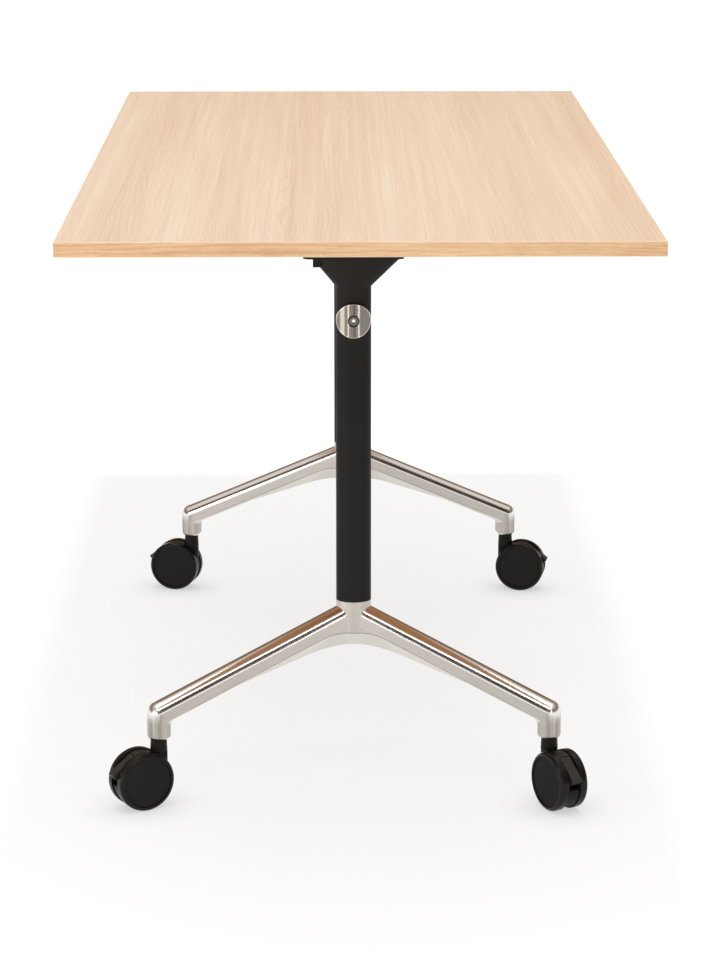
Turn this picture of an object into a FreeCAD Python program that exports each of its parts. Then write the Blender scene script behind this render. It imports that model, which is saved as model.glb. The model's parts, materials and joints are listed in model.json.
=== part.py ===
import FreeCAD, Part
import math
import os

from FreeCAD import Vector

# Flip-top desk: a board that tilts on two cast heads, two oval columns joined by
# a crossbar, two cast feet and four braked twin-wheel casters.
# Millimetres. The origin is on the floor under the middle of the board, +Z is up,
# +Y runs along the board, and +X is the side that goes down when the board tilts.

# Fits and cuts
OVERRUN = 5.0
SLIP = 0.02
RUNNING_FIT = 0.05
LOOSE_FIT = 0.2
FACE_GAP = 0.3

# Board
BOARD_LENGTH = 1400.0
BOARD_WIDTH = 700.0
BOARD_THICKNESS = 18.0
DESK_HEIGHT = 755.0
EDGE_BAND_THICKNESS = 2.0
EDGE_BAND_ROUND = 1.2

# Legs
LEG_SETBACK = 274.0
LEG_OFFSET = -6.0
COLUMN_WIDTH = 44.0
COLUMN_DEPTH = 36.0
COLUMN_WALL = 2.0

# End radius of every oval, as a share of the end radius of an ellipse of its size
OVAL_END_SHARE = 1.05

# Tilt axis, below the board and towards +X
PIVOT_X = 45.0
PIVOT_DROP = 25.5
PIVOT_RADIUS = 5.0
PIVOT_HEAD_RADIUS = 8.0
PIVOT_HEAD_THICKNESS = 3.0
PIVOT_TAIL = 4.0
CLIP_RADIUS = 8.0
CLIP_THICKNESS = 1.2

# Head on each column
FLANGE_DROP = 17.0
FLANGE_HALF_LENGTH = 62.0
FLANGE_HALF_DEPTH = 24.0
FLANGE_THICKNESS = 4.5
FLANGE_CORNER = 8.0
FUNNEL_HEIGHT = 36.0
FUNNEL_LIP = 1.0
FUNNEL_REACH_LOW_SIDE = 60.0
FUNNEL_REACH_HIGH_SIDE = 53.0
LUG_RADIUS = 11.0
LUG_THICKNESS = 9.6
LUG_GAP = 16.0
CATCH_BOSS_X = -50.0
CATCH_BOSS_LENGTH = 9.0
CATCH_BOSS_DEPTH = 24.0
CATCH_BOSS_HEIGHT = 12.0
HEAD_SPIGOT_LENGTH = 30.0
HEAD_SCREW_DROP = 14.0
HEAD_SCREW_RADIUS = 2.5
HEAD_SCREW_LENGTH = 12.0
HEAD_SCREW_HEAD_RADIUS = 4.5
HEAD_SCREW_HEAD_HEIGHT = 2.5
PAD_LENGTH = 14.0
PAD_WIDTH = 7.0
PAD_FROM_AXIS = 24.0

# Bracket under the board at each head
BRACKET_REACH_HIGH_SIDE = 150.0
BRACKET_REACH_LOW_SIDE = 100.0
BRACKET_HALF_DEPTH = 38.0
BRACKET_CORNER = 10.0
BRACKET_THICKNESS = 3.0
EAR_GAP = 0.4
EAR_DROP = 12.0
EAR_REACH = 100.0
EAR_TAPER_LENGTH = 30.0
EAR_TAPER_RISE = 18.0
EAR_ROUND = 8.0
BRACKET_SCREW_END_INSET = 15.0
BRACKET_SCREW_SIDE_INSET = 10.0
BRACKET_SCREW_MIDDLE_X = -20.0
BRACKET_SCREW_RADIUS = 2.0
BRACKET_SCREW_DEPTH = 13.0
BRACKET_SCREW_HEAD_RADIUS = 4.0
BRACKET_SCREW_TOP_RADIUS = 2.6
BRACKET_SCREW_HEAD_HEIGHT = 2.6

# Lock: two flat bolts on one release bar, each with a strike plate on its head
STRIKE_X = -41.0
STRIKE_THICKNESS = 3.0
STRIKE_WIDTH = 24.0
STRIKE_FOOT_LENGTH = 20.0
STRIKE_HEIGHT = 25.0
STRIKE_SCREW_X = -47.0
STRIKE_SCREW_SPACING = 12.0
STRIKE_SCREW_RADIUS = 2.0
STRIKE_SCREW_LENGTH = 14.0
STRIKE_SCREW_HEAD_RADIUS = 3.6
STRIKE_SCREW_HEAD_HEIGHT = 2.0
BOLT_RISE = 15.0
BOLT_WIDTH = 10.0
BOLT_HEIGHT = 8.0
BOLT_GAP = 2.0
BOLT_TIP_ROUND = 2.0
BOLT_WINDOW_GAP = 0.6
GUIDE_LENGTH = 30.0
GUIDE_SETBACK = 3.0
GUIDE_SIDE_GAP = 0.2
GUIDE_LOWER_LIP = 4.0
GUIDE_STUD_RADIUS = 3.0
GUIDE_STUD_SPACING = 18.0
RELEASE_BAR_X = -123.0
RELEASE_BAR_RADIUS = 5.0
RELEASE_BAR_WALL = 1.5
RELEASE_BAR_TAIL = 32.0
BOLT_EYE_RADIUS = 8.5
GRIP_LENGTH = 160.0
GRIP_WALL = 4.0
GRIP_ROUND = 2.5

# Crossbar between the columns
CROSSBAR_DROP = 41.0
CROSSBAR_WIDTH = 36.0
CROSSBAR_HEIGHT = 44.0
CROSSBAR_WALL = 2.0
SADDLE_SHOULDER = 6.0
SADDLE_PLUG_LENGTH = 30.0
DISC_RADIUS = 21.6
DISC_STAND = 7.0
DISC_WRAP = 10.0
DISC_CROWN_RADIUS = 28.0
DISC_EDGE = 0.8
DISC_SINK_RADIUS = 7.4
DISC_SINK_DEPTH = 4.2
CROSSBAR_SCREW_RADIUS = 4.0
CROSSBAR_SCREW_HEAD_RADIUS = 6.5
CROSSBAR_SCREW_HEAD_HEIGHT = 3.8
CROSSBAR_SCREW_REACH = 45.0
CROSSBAR_SCREW_KEY_RADIUS = 2.9
CROSSBAR_SCREW_KEY_DEPTH = 2.2
CROSSBAR_SCREW_KEY_SIDES = 6
SLEEVE_RADIUS = 7.0

# Cast foot
CASTER_HEIGHT = 87.0
SWIVEL_GAP = 0.4
CASTER_X = 246.0
FOOT_SWEEP = 60.0
ARM_WIDTH = 28.0
ARM_CREST_FLAT = 1.0
ARM_KEEL_WIDTH = 16.0
ARM_END_HEIGHT = 48.4
ARM_RISE = 116.9
ARM_SIDE_HEIGHT = 28.0
ARM_END_ROUND = 15.0
ARM_INNER_ROUND = 9.0
ARM_CREASE_ROUND = 64.0
ARM_KEEL_ROUND = 170.0
KEEL_START = 150.0
KEEL_END_DROP = 4.0
KEEL_CORNER = 32.0
HUB_TOP_STEP = 1.7
HUB_SIDE_HEIGHT = 40.4
HUB_KEEL_HEIGHT = 16.1
HUB_KEEL_INSET = 6.0
BOSS_INNER_CHAMFER = 5.8
BOSS_BOTTOM_ROUND = 4.5
FOOT_SPIGOT_LENGTH = 40.0
FOOT_BOLT_RADIUS = 5.0
FOOT_BOLT_HEAD_RADIUS = 8.0
FOOT_BOLT_HEAD_HEIGHT = 8.0
FOOT_BOLT_SINK = 9.0
NUT_PLUG_GAP = 2.0
NUT_PLUG_LENGTH = 20.0

# Casters
WHEEL_RADIUS = 37.5
WHEEL_WIDTH = 11.5
WHEEL_SIDE_GAP = 1.4
WHEEL_HUB_RADIUS = 9.0
WHEEL_RIM_RADIUS = 32.0
WHEEL_WEB = 3.5
WHEEL_OUTER_ROUND = 4.5
CAP_RADIUS = 32.0
CAP_THICKNESS = 2.2
CAP_SINK = 1.5
CAP_EDGE = 0.6
AXLE_RADIUS = 4.0
TRAIL = 25.0
HOOD_WIDTH = 14.2
HOOD_RADIUS = 36.0
HOOD_FLOOR = 12.0
COLLAR_TOP_RADIUS = 10.2
COLLAR_LOW_RADIUS = 10.9
COLLAR_LENGTH = 15.5
COLLAR_ROOT_LENGTH = 20.0
STEM_RADIUS = 5.5
STEM_IN_FOOT = 34.0
STEM_IN_HOOD = 36.0
STEM_END_GAP = 0.2
LEVER_WIDTH = 13.6
LEVER_WEB = 4.8
LEVER_WEB_GAP = 0.4
LEVER_PLATE = 3.2
LEVER_PIN_RADIUS = 1.8

# Outlines of the brake lever, its pocket in the hood and the pivot ear in that
# pocket, from the wheel's centre, as shares of the wheel's radius
LEVER_SHARES = [(0.315, 0.905), (1.13, 0.315), (0.95, 0.10), (0.56, 0.44), (0.38, 0.46), (0.235, 0.56)]
LEVER_ROUND_SHARES = (0.02, 0.04, 0.04, 0.06, 0.03, 0.03)
POCKET_SHARES = [(0.30, 1.05), (0.30, 0.88), (0.20, 0.57), (0.30, 0.40), (0.50, 0.36), (0.50, -0.11),
                 (1.35, -0.11), (1.35, 1.05)]
POST_SHARES = [(0.27, 0.32), (0.27, 0.62), (0.45, 0.62), (0.45, 0.32)]
LEVER_PIVOT_SHARES = (0.36, 0.62)
PIVOT_EAR_SHARE = 0.09

# Casters as they stand: side of the desk, end of the desk, trail direction in degrees
CASTERS = [("near_left", -1, -1, 209.0), ("near_right", 1, -1, 298.0),
           ("far_left", -1, 1, 165.0), ("far_right", 1, 1, 348.5)]

# Places worked out from the sizes above
LEG_Y = BOARD_LENGTH / 2 - LEG_SETBACK
UNDERSIDE_Z = DESK_HEIGHT - BOARD_THICKNESS
WEB_Z = UNDERSIDE_Z - BRACKET_THICKNESS
PIVOT_Z = UNDERSIDE_Z - PIVOT_DROP
FLANGE_TOP_Z = PIVOT_Z - FLANGE_DROP
FUNNEL_TOP_Z = FLANGE_TOP_Z - FLANGE_THICKNESS
COLUMN_TOP_Z = FUNNEL_TOP_Z - FUNNEL_HEIGHT
CROSSBAR_Z = COLUMN_TOP_Z - CROSSBAR_DROP
EAR_LOW_Z = PIVOT_Z - EAR_DROP
LUG_OUTER = LUG_GAP / 2 + LUG_THICKNESS
EAR_INNER = LUG_OUTER + EAR_GAP
EAR_OUTER = EAR_INNER + BRACKET_THICKNESS
BOLT_Z = FLANGE_TOP_Z + BOLT_RISE
COLUMN_HALF_X = COLUMN_WIDTH / 2
COLUMN_HALF_Y = COLUMN_DEPTH / 2
BORE_HALF_X = COLUMN_HALF_X - COLUMN_WALL
BORE_HALF_Y = COLUMN_HALF_Y - COLUMN_WALL
BOSS_Z = CASTER_HEIGHT + SWIVEL_GAP
ARM_REACH = math.hypot(CASTER_X, FOOT_SWEEP)
ARM_ANGLE = math.degrees(math.atan2(FOOT_SWEEP, CASTER_X))
ARM_SLOPE = ARM_RISE / ARM_REACH
ARM_HUB_Z = BOSS_Z + ARM_END_HEIGHT + ARM_RISE
FOOT_TOP_Z = ARM_HUB_Z - HUB_TOP_STEP
CREASE_Z = FOOT_TOP_Z - HUB_SIDE_HEIGHT
KEEL_Z = CREASE_Z - HUB_KEEL_HEIGHT
WHEEL_INNER = HOOD_WIDTH / 2 + WHEEL_SIDE_GAP
WHEEL_OUTER = WHEEL_INNER + WHEEL_WIDTH
CAP_FACE = WHEEL_OUTER - CAP_SINK
CAP_SEAT = CAP_FACE - CAP_THICKNESS

UP = Vector(0, 0, 1)
ALONG = Vector(0, 1, 0)
ACROSS = Vector(1, 0, 0)
LEG_AXIS = Vector(0, 0, 0)


def outline(corners, y):
    """Closed wire in the plane at y through (x, z, radius) corners, each rounded by its radius."""
    marks = []
    for index, (x, z, radius) in enumerate(corners):
        corner = Vector(x, y, z)
        if not radius:
            marks.append((corner, None, corner))
            continue
        last_x, last_z, _ = corners[index - 1]
        next_x, next_z, _ = corners[(index + 1) % len(corners)]
        back = (Vector(last_x, y, last_z) - corner).normalize()
        ahead = (Vector(next_x, y, next_z) - corner).normalize()
        half = back.getAngle(ahead) / 2
        reach = radius / math.tan(half)
        inward = (back + ahead).normalize()
        middle = corner + inward * (radius / math.sin(half) - radius)
        marks.append((corner + back * reach, middle, corner + ahead * reach))
    edges = []
    for index, (enter, middle, leave) in enumerate(marks):
        if middle is not None:
            edges.append(Part.Arc(enter, middle, leave).toShape())
        edges.append(Part.makeLine(leave, marks[(index + 1) % len(marks)][0]))
    return Part.Wire(edges)


def plate_along_y(corners, y_low, y_high):
    """Prism along Y with a rounded outline in X and Z."""
    return Part.Face(outline(corners, y_low)).extrude(Vector(0, y_high - y_low, 0))


def box(x_low, x_high, y_low, y_high, z_low, z_high):
    corner = Vector(x_low, y_low, z_low)
    return Part.makeBox(x_high - x_low, y_high - y_low, z_high - z_low, corner)


def rounded_slab(x_low, x_high, half_y, z_low, z_high, corner):
    """Flat plate whose four upright edges are rounded."""
    slab = box(x_low, x_high, -half_y, half_y, z_low, z_high)
    upright = [edge for edge in slab.Edges if edge.BoundBox.ZLength > (z_high - z_low) / 2]
    return slab.makeFillet(corner, upright)


def oval_wire(half_x, half_y, z, middle_x=0.0):
    """Level oval, longer in X, of two tight arcs at its ends and two wide ones on its sides."""
    tight = OVAL_END_SHARE * half_y * half_y / half_x
    middle = half_x - tight
    wide = (middle ** 2 + half_y ** 2 - tight ** 2) / (half_y - tight) / 2
    lean = math.atan2(wide - half_y, middle)
    join_x = middle + tight * math.cos(lean)
    join_y = tight * math.sin(lean)
    corners = [(join_x, -join_y), (half_x, 0), (join_x, join_y), (0, half_y),
               (-join_x, join_y), (-half_x, 0), (-join_x, -join_y), (0, -half_y)]
    points = [Vector(middle_x + x, y, z) for x, y in corners]
    arcs = [Part.Arc(points[first], points[first + 1], points[(first + 2) % len(points)]).toShape()
            for first in range(0, len(points), 2)]
    return Part.Wire(arcs)


def oval_prism(half_x, half_y, z_low, z_high):
    return Part.Face(oval_wire(half_x, half_y, z_low)).extrude(Vector(0, 0, z_high - z_low))


def upright_oval(half_x, half_z, y_low, y_high):
    """Oval prism along Y, taller than wide, about the crossbar's axis."""
    prism = oval_prism(half_z, half_x, y_low, y_high)
    prism.rotate(LEG_AXIS, UP, 90)
    prism.rotate(LEG_AXIS, ACROSS, -90)
    prism.translate(Vector(0, 0, CROSSBAR_Z))
    return prism


def rod_y(radius, x, z, y_low, y_high):
    return Part.makeCylinder(radius, y_high - y_low, Vector(x, y_low, z), ALONG)


def rod_z(radius, x, y, z_low, z_high):
    return Part.makeCylinder(radius, z_high - z_low, Vector(x, y, z_low), UP)


def fuse_all(shapes):
    return shapes[0].fuse(shapes[1:]).removeSplitter()


def to_near_leg(shape):
    placed = shape.copy()
    placed.translate(Vector(LEG_OFFSET, -LEG_Y, 0))
    return placed


def to_far_leg(shape):
    return to_near_leg(shape).mirror(LEG_AXIS, ALONG)


def to_leg_line(shape):
    """Piece that runs from one leg to the other."""
    placed = shape.copy()
    placed.translate(Vector(LEG_OFFSET, 0, 0))
    return placed


def both_legs(shapes):
    """Group of the same pieces at the near and the far leg."""
    near = [to_near_leg(shape) for shape in shapes]
    far = [to_far_leg(shape) for shape in shapes]
    return Part.makeCompound(near + far)


# Board

def bracket_screw_places():
    y = BRACKET_HALF_DEPTH - BRACKET_SCREW_SIDE_INSET
    places_x = (BRACKET_SCREW_END_INSET - BRACKET_REACH_HIGH_SIDE, BRACKET_SCREW_MIDDLE_X,
                BRACKET_REACH_LOW_SIDE - BRACKET_SCREW_END_INSET)
    return [(x, side * y) for x in places_x for side in (-1, 1)]


def board_blank(inset):
    half_x = BOARD_WIDTH / 2 - inset
    half_y = BOARD_LENGTH / 2 - inset
    return box(-half_x, half_x, -half_y, half_y, UNDERSIDE_Z, DESK_HEIGHT)


def tabletop_board():
    depth = BRACKET_SCREW_DEPTH + LOOSE_FIT
    radius = BRACKET_SCREW_RADIUS + SLIP
    holes = [rod_z(radius, x, y, UNDERSIDE_Z - OVERRUN, UNDERSIDE_Z + depth)
             for x, y in bracket_screw_places()]
    return board_blank(EDGE_BAND_THICKNESS).cut(both_legs(holes))


def edge_bands():
    """Four strips round the board, the two long ones covering the ends of the short ones."""
    blank = board_blank(0)
    rims = [edge for edge in blank.Edges if edge.BoundBox.ZLength < BOARD_THICKNESS / 2]
    frame = blank.makeFillet(EDGE_BAND_ROUND, rims).cut(board_blank(EDGE_BAND_THICKNESS))
    inner_x = BOARD_WIDTH / 2 - EDGE_BAND_THICKNESS
    half_y = BOARD_LENGTH / 2 + OVERRUN
    low = UNDERSIDE_Z - OVERRUN
    high = DESK_HEIGHT + OVERRUN
    middle = box(-inner_x, inner_x, -half_y, half_y, low, high)
    return Part.makeCompound(frame.cut(middle).Solids + frame.common(middle).Solids)


# Tilting bracket

def heel_x():
    """The heel of the ears comes down on the flange when the board stands upright."""
    return PIVOT_X + FLANGE_DROP - FACE_GAP


def ear(y_low, y_high):
    taper_x = -EAR_REACH + EAR_TAPER_LENGTH
    corners = [(-EAR_REACH, WEB_Z, 0), (-EAR_REACH, EAR_LOW_Z + EAR_TAPER_RISE, EAR_ROUND),
               (taper_x, EAR_LOW_Z, EAR_ROUND), (heel_x(), EAR_LOW_Z, EAR_DROP), (heel_x(), WEB_Z, 0)]
    return plate_along_y(corners, y_low, y_high)


def guide_stud_places():
    middle = -EAR_REACH + GUIDE_SETBACK + GUIDE_LENGTH / 2
    return [middle - GUIDE_STUD_SPACING / 2, middle + GUIDE_STUD_SPACING / 2]


def bracket():
    web = rounded_slab(-BRACKET_REACH_HIGH_SIDE, BRACKET_REACH_LOW_SIDE, BRACKET_HALF_DEPTH,
                       WEB_Z, UNDERSIDE_Z, BRACKET_CORNER)
    body = fuse_all([web, ear(-EAR_OUTER, -EAR_INNER), ear(EAR_INNER, EAR_OUTER)])
    low = WEB_Z - OVERRUN
    high = UNDERSIDE_Z + OVERRUN
    holes = [rod_z(BRACKET_SCREW_RADIUS + SLIP, x, y, low, high) for x, y in bracket_screw_places()]
    holes += [rod_z(GUIDE_STUD_RADIUS + SLIP, x, 0, low, high) for x in guide_stud_places()]
    reach = EAR_OUTER + OVERRUN
    holes.append(rod_y(PIVOT_RADIUS + SLIP, PIVOT_X, PIVOT_Z, -reach, reach))
    return body.cut(holes)


def bracket_screws():
    screws = []
    for x, y in bracket_screw_places():
        shank = rod_z(BRACKET_SCREW_RADIUS, x, y, WEB_Z, UNDERSIDE_Z + BRACKET_SCREW_DEPTH)
        head = Part.makeCone(BRACKET_SCREW_TOP_RADIUS, BRACKET_SCREW_HEAD_RADIUS, BRACKET_SCREW_HEAD_HEIGHT,
                             Vector(x, y, WEB_Z - BRACKET_SCREW_HEAD_HEIGHT), UP)
        screws.append(fuse_all([head, shank]))
    return screws


def pivot_pin():
    seat = EAR_OUTER + SLIP
    head = rod_y(PIVOT_HEAD_RADIUS, PIVOT_X, PIVOT_Z, -seat - PIVOT_HEAD_THICKNESS, -seat)
    shank = rod_y(PIVOT_RADIUS, PIVOT_X, PIVOT_Z, -seat, seat + PIVOT_TAIL)
    return fuse_all([head, shank])


def pivot_clip():
    seat = EAR_OUTER + SLIP
    ring = rod_y(CLIP_RADIUS, PIVOT_X, PIVOT_Z, seat, seat + CLIP_THICKNESS)
    hole = rod_y(PIVOT_RADIUS + SLIP, PIVOT_X, PIVOT_Z, seat - OVERRUN, seat + OVERRUN)
    mouth = box(PIVOT_X, PIVOT_X + CLIP_RADIUS + OVERRUN, seat - OVERRUN, seat + OVERRUN,
                PIVOT_Z - PIVOT_RADIUS / 2, PIVOT_Z + PIVOT_RADIUS / 2)
    return ring.cut([hole, mouth])


# Lock

def bolt_guide():
    x_low = -EAR_REACH + GUIDE_SETBACK
    half_y = EAR_INNER - GUIDE_SIDE_GAP
    low = BOLT_Z - BOLT_HEIGHT / 2 - GUIDE_LOWER_LIP
    block = box(x_low, x_low + GUIDE_LENGTH, -half_y, half_y, low, WEB_Z)
    slot_y = BOLT_WIDTH / 2 + RUNNING_FIT
    slot_z = BOLT_HEIGHT / 2 + RUNNING_FIT
    slot = box(x_low - OVERRUN, x_low + GUIDE_LENGTH + OVERRUN, -slot_y, slot_y,
               BOLT_Z - slot_z, BOLT_Z + slot_z)
    studs = [rod_z(GUIDE_STUD_RADIUS, x, 0, WEB_Z, UNDERSIDE_Z - SLIP) for x in guide_stud_places()]
    return fuse_all([block.cut(slot)] + studs)


def latch_bolt():
    tip = STRIKE_X - BOLT_GAP
    half_y = BOLT_WIDTH / 2
    corners = [(RELEASE_BAR_X, BOLT_Z - BOLT_HEIGHT / 2, 0), (tip, BOLT_Z - BOLT_HEIGHT / 2, BOLT_TIP_ROUND),
               (tip, BOLT_Z + BOLT_HEIGHT / 2, BOLT_TIP_ROUND), (RELEASE_BAR_X, BOLT_Z + BOLT_HEIGHT / 2, 0)]
    flat = plate_along_y(corners, -half_y, half_y)
    eye = rod_y(BOLT_EYE_RADIUS, RELEASE_BAR_X, BOLT_Z, -half_y, half_y)
    hole = rod_y(RELEASE_BAR_RADIUS + SLIP, RELEASE_BAR_X, BOLT_Z, -half_y - OVERRUN, half_y + OVERRUN)
    return fuse_all([flat, eye]).cut(hole)


def release_bar():
    reach = LEG_Y + RELEASE_BAR_TAIL
    tube = rod_y(RELEASE_BAR_RADIUS, RELEASE_BAR_X, BOLT_Z, -reach, reach)
    bore = rod_y(RELEASE_BAR_RADIUS - RELEASE_BAR_WALL, RELEASE_BAR_X, BOLT_Z,
                 -reach - OVERRUN, reach + OVERRUN)
    return tube.cut(bore)


def release_grip():
    radius = RELEASE_BAR_RADIUS + GRIP_WALL
    reach = GRIP_LENGTH / 2
    sleeve = rod_y(radius, RELEASE_BAR_X, BOLT_Z, -reach, reach)
    rims = [edge for edge in sleeve.Edges if edge.Closed]
    bore = rod_y(RELEASE_BAR_RADIUS + SLIP, RELEASE_BAR_X, BOLT_Z, -reach - OVERRUN, reach + OVERRUN)
    return sleeve.makeFillet(GRIP_ROUND, rims).cut(bore)


def strike_screw_places():
    return [-STRIKE_SCREW_SPACING / 2, STRIKE_SCREW_SPACING / 2]


def strike_plate():
    half_y = STRIKE_WIDTH / 2
    left = STRIKE_X + STRIKE_THICKNESS - STRIKE_FOOT_LENGTH
    right = STRIKE_X + STRIKE_THICKNESS
    top = FLANGE_TOP_Z + STRIKE_HEIGHT
    corners = [(left, FLANGE_TOP_Z, 0), (right, FLANGE_TOP_Z, STRIKE_THICKNESS), (right, top, 0),
               (STRIKE_X, top, 0), (STRIKE_X, FLANGE_TOP_Z + STRIKE_THICKNESS, 0),
               (left, FLANGE_TOP_Z + STRIKE_THICKNESS, 0)]
    angle = plate_along_y(corners, -half_y, half_y)
    open_y = BOLT_WIDTH / 2 + BOLT_WINDOW_GAP
    open_z = BOLT_HEIGHT / 2 + BOLT_WINDOW_GAP
    window = box(STRIKE_X - OVERRUN, right + OVERRUN, -open_y, open_y, BOLT_Z - open_z, BOLT_Z + open_z)
    holes = [rod_z(STRIKE_SCREW_RADIUS + SLIP, STRIKE_SCREW_X, y, FLANGE_TOP_Z - OVERRUN,
                   FLANGE_TOP_Z + OVERRUN) for y in strike_screw_places()]
    return angle.cut([window] + holes)


def strike_screws():
    seat = FLANGE_TOP_Z + STRIKE_THICKNESS
    screws = []
    for y in strike_screw_places():
        shank = rod_z(STRIKE_SCREW_RADIUS, STRIKE_SCREW_X, y, seat - STRIKE_SCREW_LENGTH, seat)
        head = rod_z(STRIKE_SCREW_HEAD_RADIUS, STRIKE_SCREW_X, y, seat, seat + STRIKE_SCREW_HEAD_HEIGHT)
        screws.append(fuse_all([shank, head]))
    return screws


# Head

def funnel():
    """Flare from the column's oval to a longer oval under the flange, further out on the low side."""
    half_top = (FUNNEL_REACH_LOW_SIDE + FUNNEL_REACH_HIGH_SIDE) / 2
    middle_top = (FUNNEL_REACH_LOW_SIDE - FUNNEL_REACH_HIGH_SIDE) / 2
    low = oval_wire(COLUMN_HALF_X + FUNNEL_LIP, COLUMN_HALF_Y + FUNNEL_LIP, COLUMN_TOP_Z)
    high = oval_wire(half_top, FLANGE_HALF_DEPTH, FUNNEL_TOP_Z, middle_top)
    return Part.makeLoft([low, high], True, True)


def lug(y_low):
    eye = rod_y(LUG_RADIUS, PIVOT_X, PIVOT_Z, y_low, y_low + LUG_THICKNESS)
    post = box(PIVOT_X - LUG_RADIUS, PIVOT_X + LUG_RADIUS, y_low, y_low + LUG_THICKNESS,
               FLANGE_TOP_Z, PIVOT_Z)
    return eye.fuse(post)


def head():
    flange = rounded_slab(-FLANGE_HALF_LENGTH, FLANGE_HALF_LENGTH, FLANGE_HALF_DEPTH,
                          FUNNEL_TOP_Z, FLANGE_TOP_Z, FLANGE_CORNER)
    boss = box(CATCH_BOSS_X, CATCH_BOSS_X + CATCH_BOSS_LENGTH, -CATCH_BOSS_DEPTH / 2, CATCH_BOSS_DEPTH / 2,
               FUNNEL_TOP_Z - CATCH_BOSS_HEIGHT, FUNNEL_TOP_Z)
    spigot = oval_prism(BORE_HALF_X - LOOSE_FIT, BORE_HALF_Y - LOOSE_FIT,
                        COLUMN_TOP_Z - HEAD_SPIGOT_LENGTH, COLUMN_TOP_Z)
    body = fuse_all([flange, funnel(), boss, spigot, lug(-LUG_OUTER), lug(LUG_GAP / 2)])
    reach = LUG_OUTER + OVERRUN
    pivot_bore = rod_y(PIVOT_RADIUS + RUNNING_FIT, PIVOT_X, PIVOT_Z, -reach, reach)
    screw_low = FLANGE_TOP_Z + STRIKE_THICKNESS - STRIKE_SCREW_LENGTH - LOOSE_FIT
    holes = [rod_z(STRIKE_SCREW_RADIUS + SLIP, STRIKE_SCREW_X, y, screw_low, FLANGE_TOP_Z + OVERRUN)
             for y in strike_screw_places()]
    side_hole = rod_y(HEAD_SCREW_RADIUS + SLIP, 0, COLUMN_TOP_Z - HEAD_SCREW_DROP,
                      COLUMN_HALF_Y - HEAD_SCREW_LENGTH - LOOSE_FIT, COLUMN_HALF_Y + OVERRUN)
    return body.cut([pivot_bore, side_hole] + holes)


def head_screw():
    z = COLUMN_TOP_Z - HEAD_SCREW_DROP
    shank = rod_y(HEAD_SCREW_RADIUS, 0, z, COLUMN_HALF_Y - HEAD_SCREW_LENGTH, COLUMN_HALF_Y + SLIP)
    top = rod_y(HEAD_SCREW_HEAD_RADIUS, 0, z, COLUMN_HALF_Y + SLIP,
                COLUMN_HALF_Y + SLIP + HEAD_SCREW_HEAD_HEIGHT)
    return fuse_all([shank, top])


def rest_pads():
    """Rubber blocks on the flange that the bracket's ears come down on."""
    middle_y = (EAR_INNER + EAR_OUTER) / 2
    pads = []
    for side in (-1, 1):
        y = side * middle_y
        pads.append(box(-PAD_FROM_AXIS - PAD_LENGTH, -PAD_FROM_AXIS, y - PAD_WIDTH / 2, y + PAD_WIDTH / 2,
                        FLANGE_TOP_Z, EAR_LOW_Z - FACE_GAP))
    return pads


# Column and crossbar

def column():
    outer = oval_prism(COLUMN_HALF_X, COLUMN_HALF_Y, FOOT_TOP_Z, COLUMN_TOP_Z)
    bore = oval_prism(BORE_HALF_X, BORE_HALF_Y, FOOT_TOP_Z - OVERRUN, COLUMN_TOP_Z + OVERRUN)
    reach = COLUMN_HALF_Y + OVERRUN
    crossbar_hole = rod_y(CROSSBAR_SCREW_RADIUS + SLIP, 0, CROSSBAR_Z, -reach, reach)
    head_hole = rod_y(HEAD_SCREW_RADIUS + SLIP, 0, COLUMN_TOP_Z - HEAD_SCREW_DROP, 0, reach)
    return outer.cut([bore, crossbar_hole, head_hole])


def column_cutter(clearance):
    return oval_prism(COLUMN_HALF_X + clearance, COLUMN_HALF_Y + clearance, FOOT_TOP_Z, COLUMN_TOP_Z)


def crossbar():
    reach = LEG_Y - COLUMN_HALF_Y - SADDLE_SHOULDER
    outer = upright_oval(CROSSBAR_WIDTH / 2, CROSSBAR_HEIGHT / 2, -reach, reach)
    bore = upright_oval(CROSSBAR_WIDTH / 2 - CROSSBAR_WALL, CROSSBAR_HEIGHT / 2 - CROSSBAR_WALL,
                        -reach - OVERRUN, reach + OVERRUN)
    return outer.cut(bore)


def crossbar_saddle():
    """Cast end of the crossbar, hollowed to sit on the column, with a plug inside the tube."""
    face = COLUMN_HALF_Y + SADDLE_SHOULDER
    shoulder = upright_oval(CROSSBAR_WIDTH / 2, CROSSBAR_HEIGHT / 2, 0, face)
    inset = CROSSBAR_WALL + LOOSE_FIT
    plug = upright_oval(CROSSBAR_WIDTH / 2 - inset, CROSSBAR_HEIGHT / 2 - inset,
                        face, face + SADDLE_PLUG_LENGTH)
    hole = rod_y(CROSSBAR_SCREW_RADIUS + SLIP, 0, CROSSBAR_Z, -OVERRUN, CROSSBAR_SCREW_REACH + LOOSE_FIT)
    return fuse_all([shoulder, plug]).cut([column_cutter(SLIP), hole])


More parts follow.
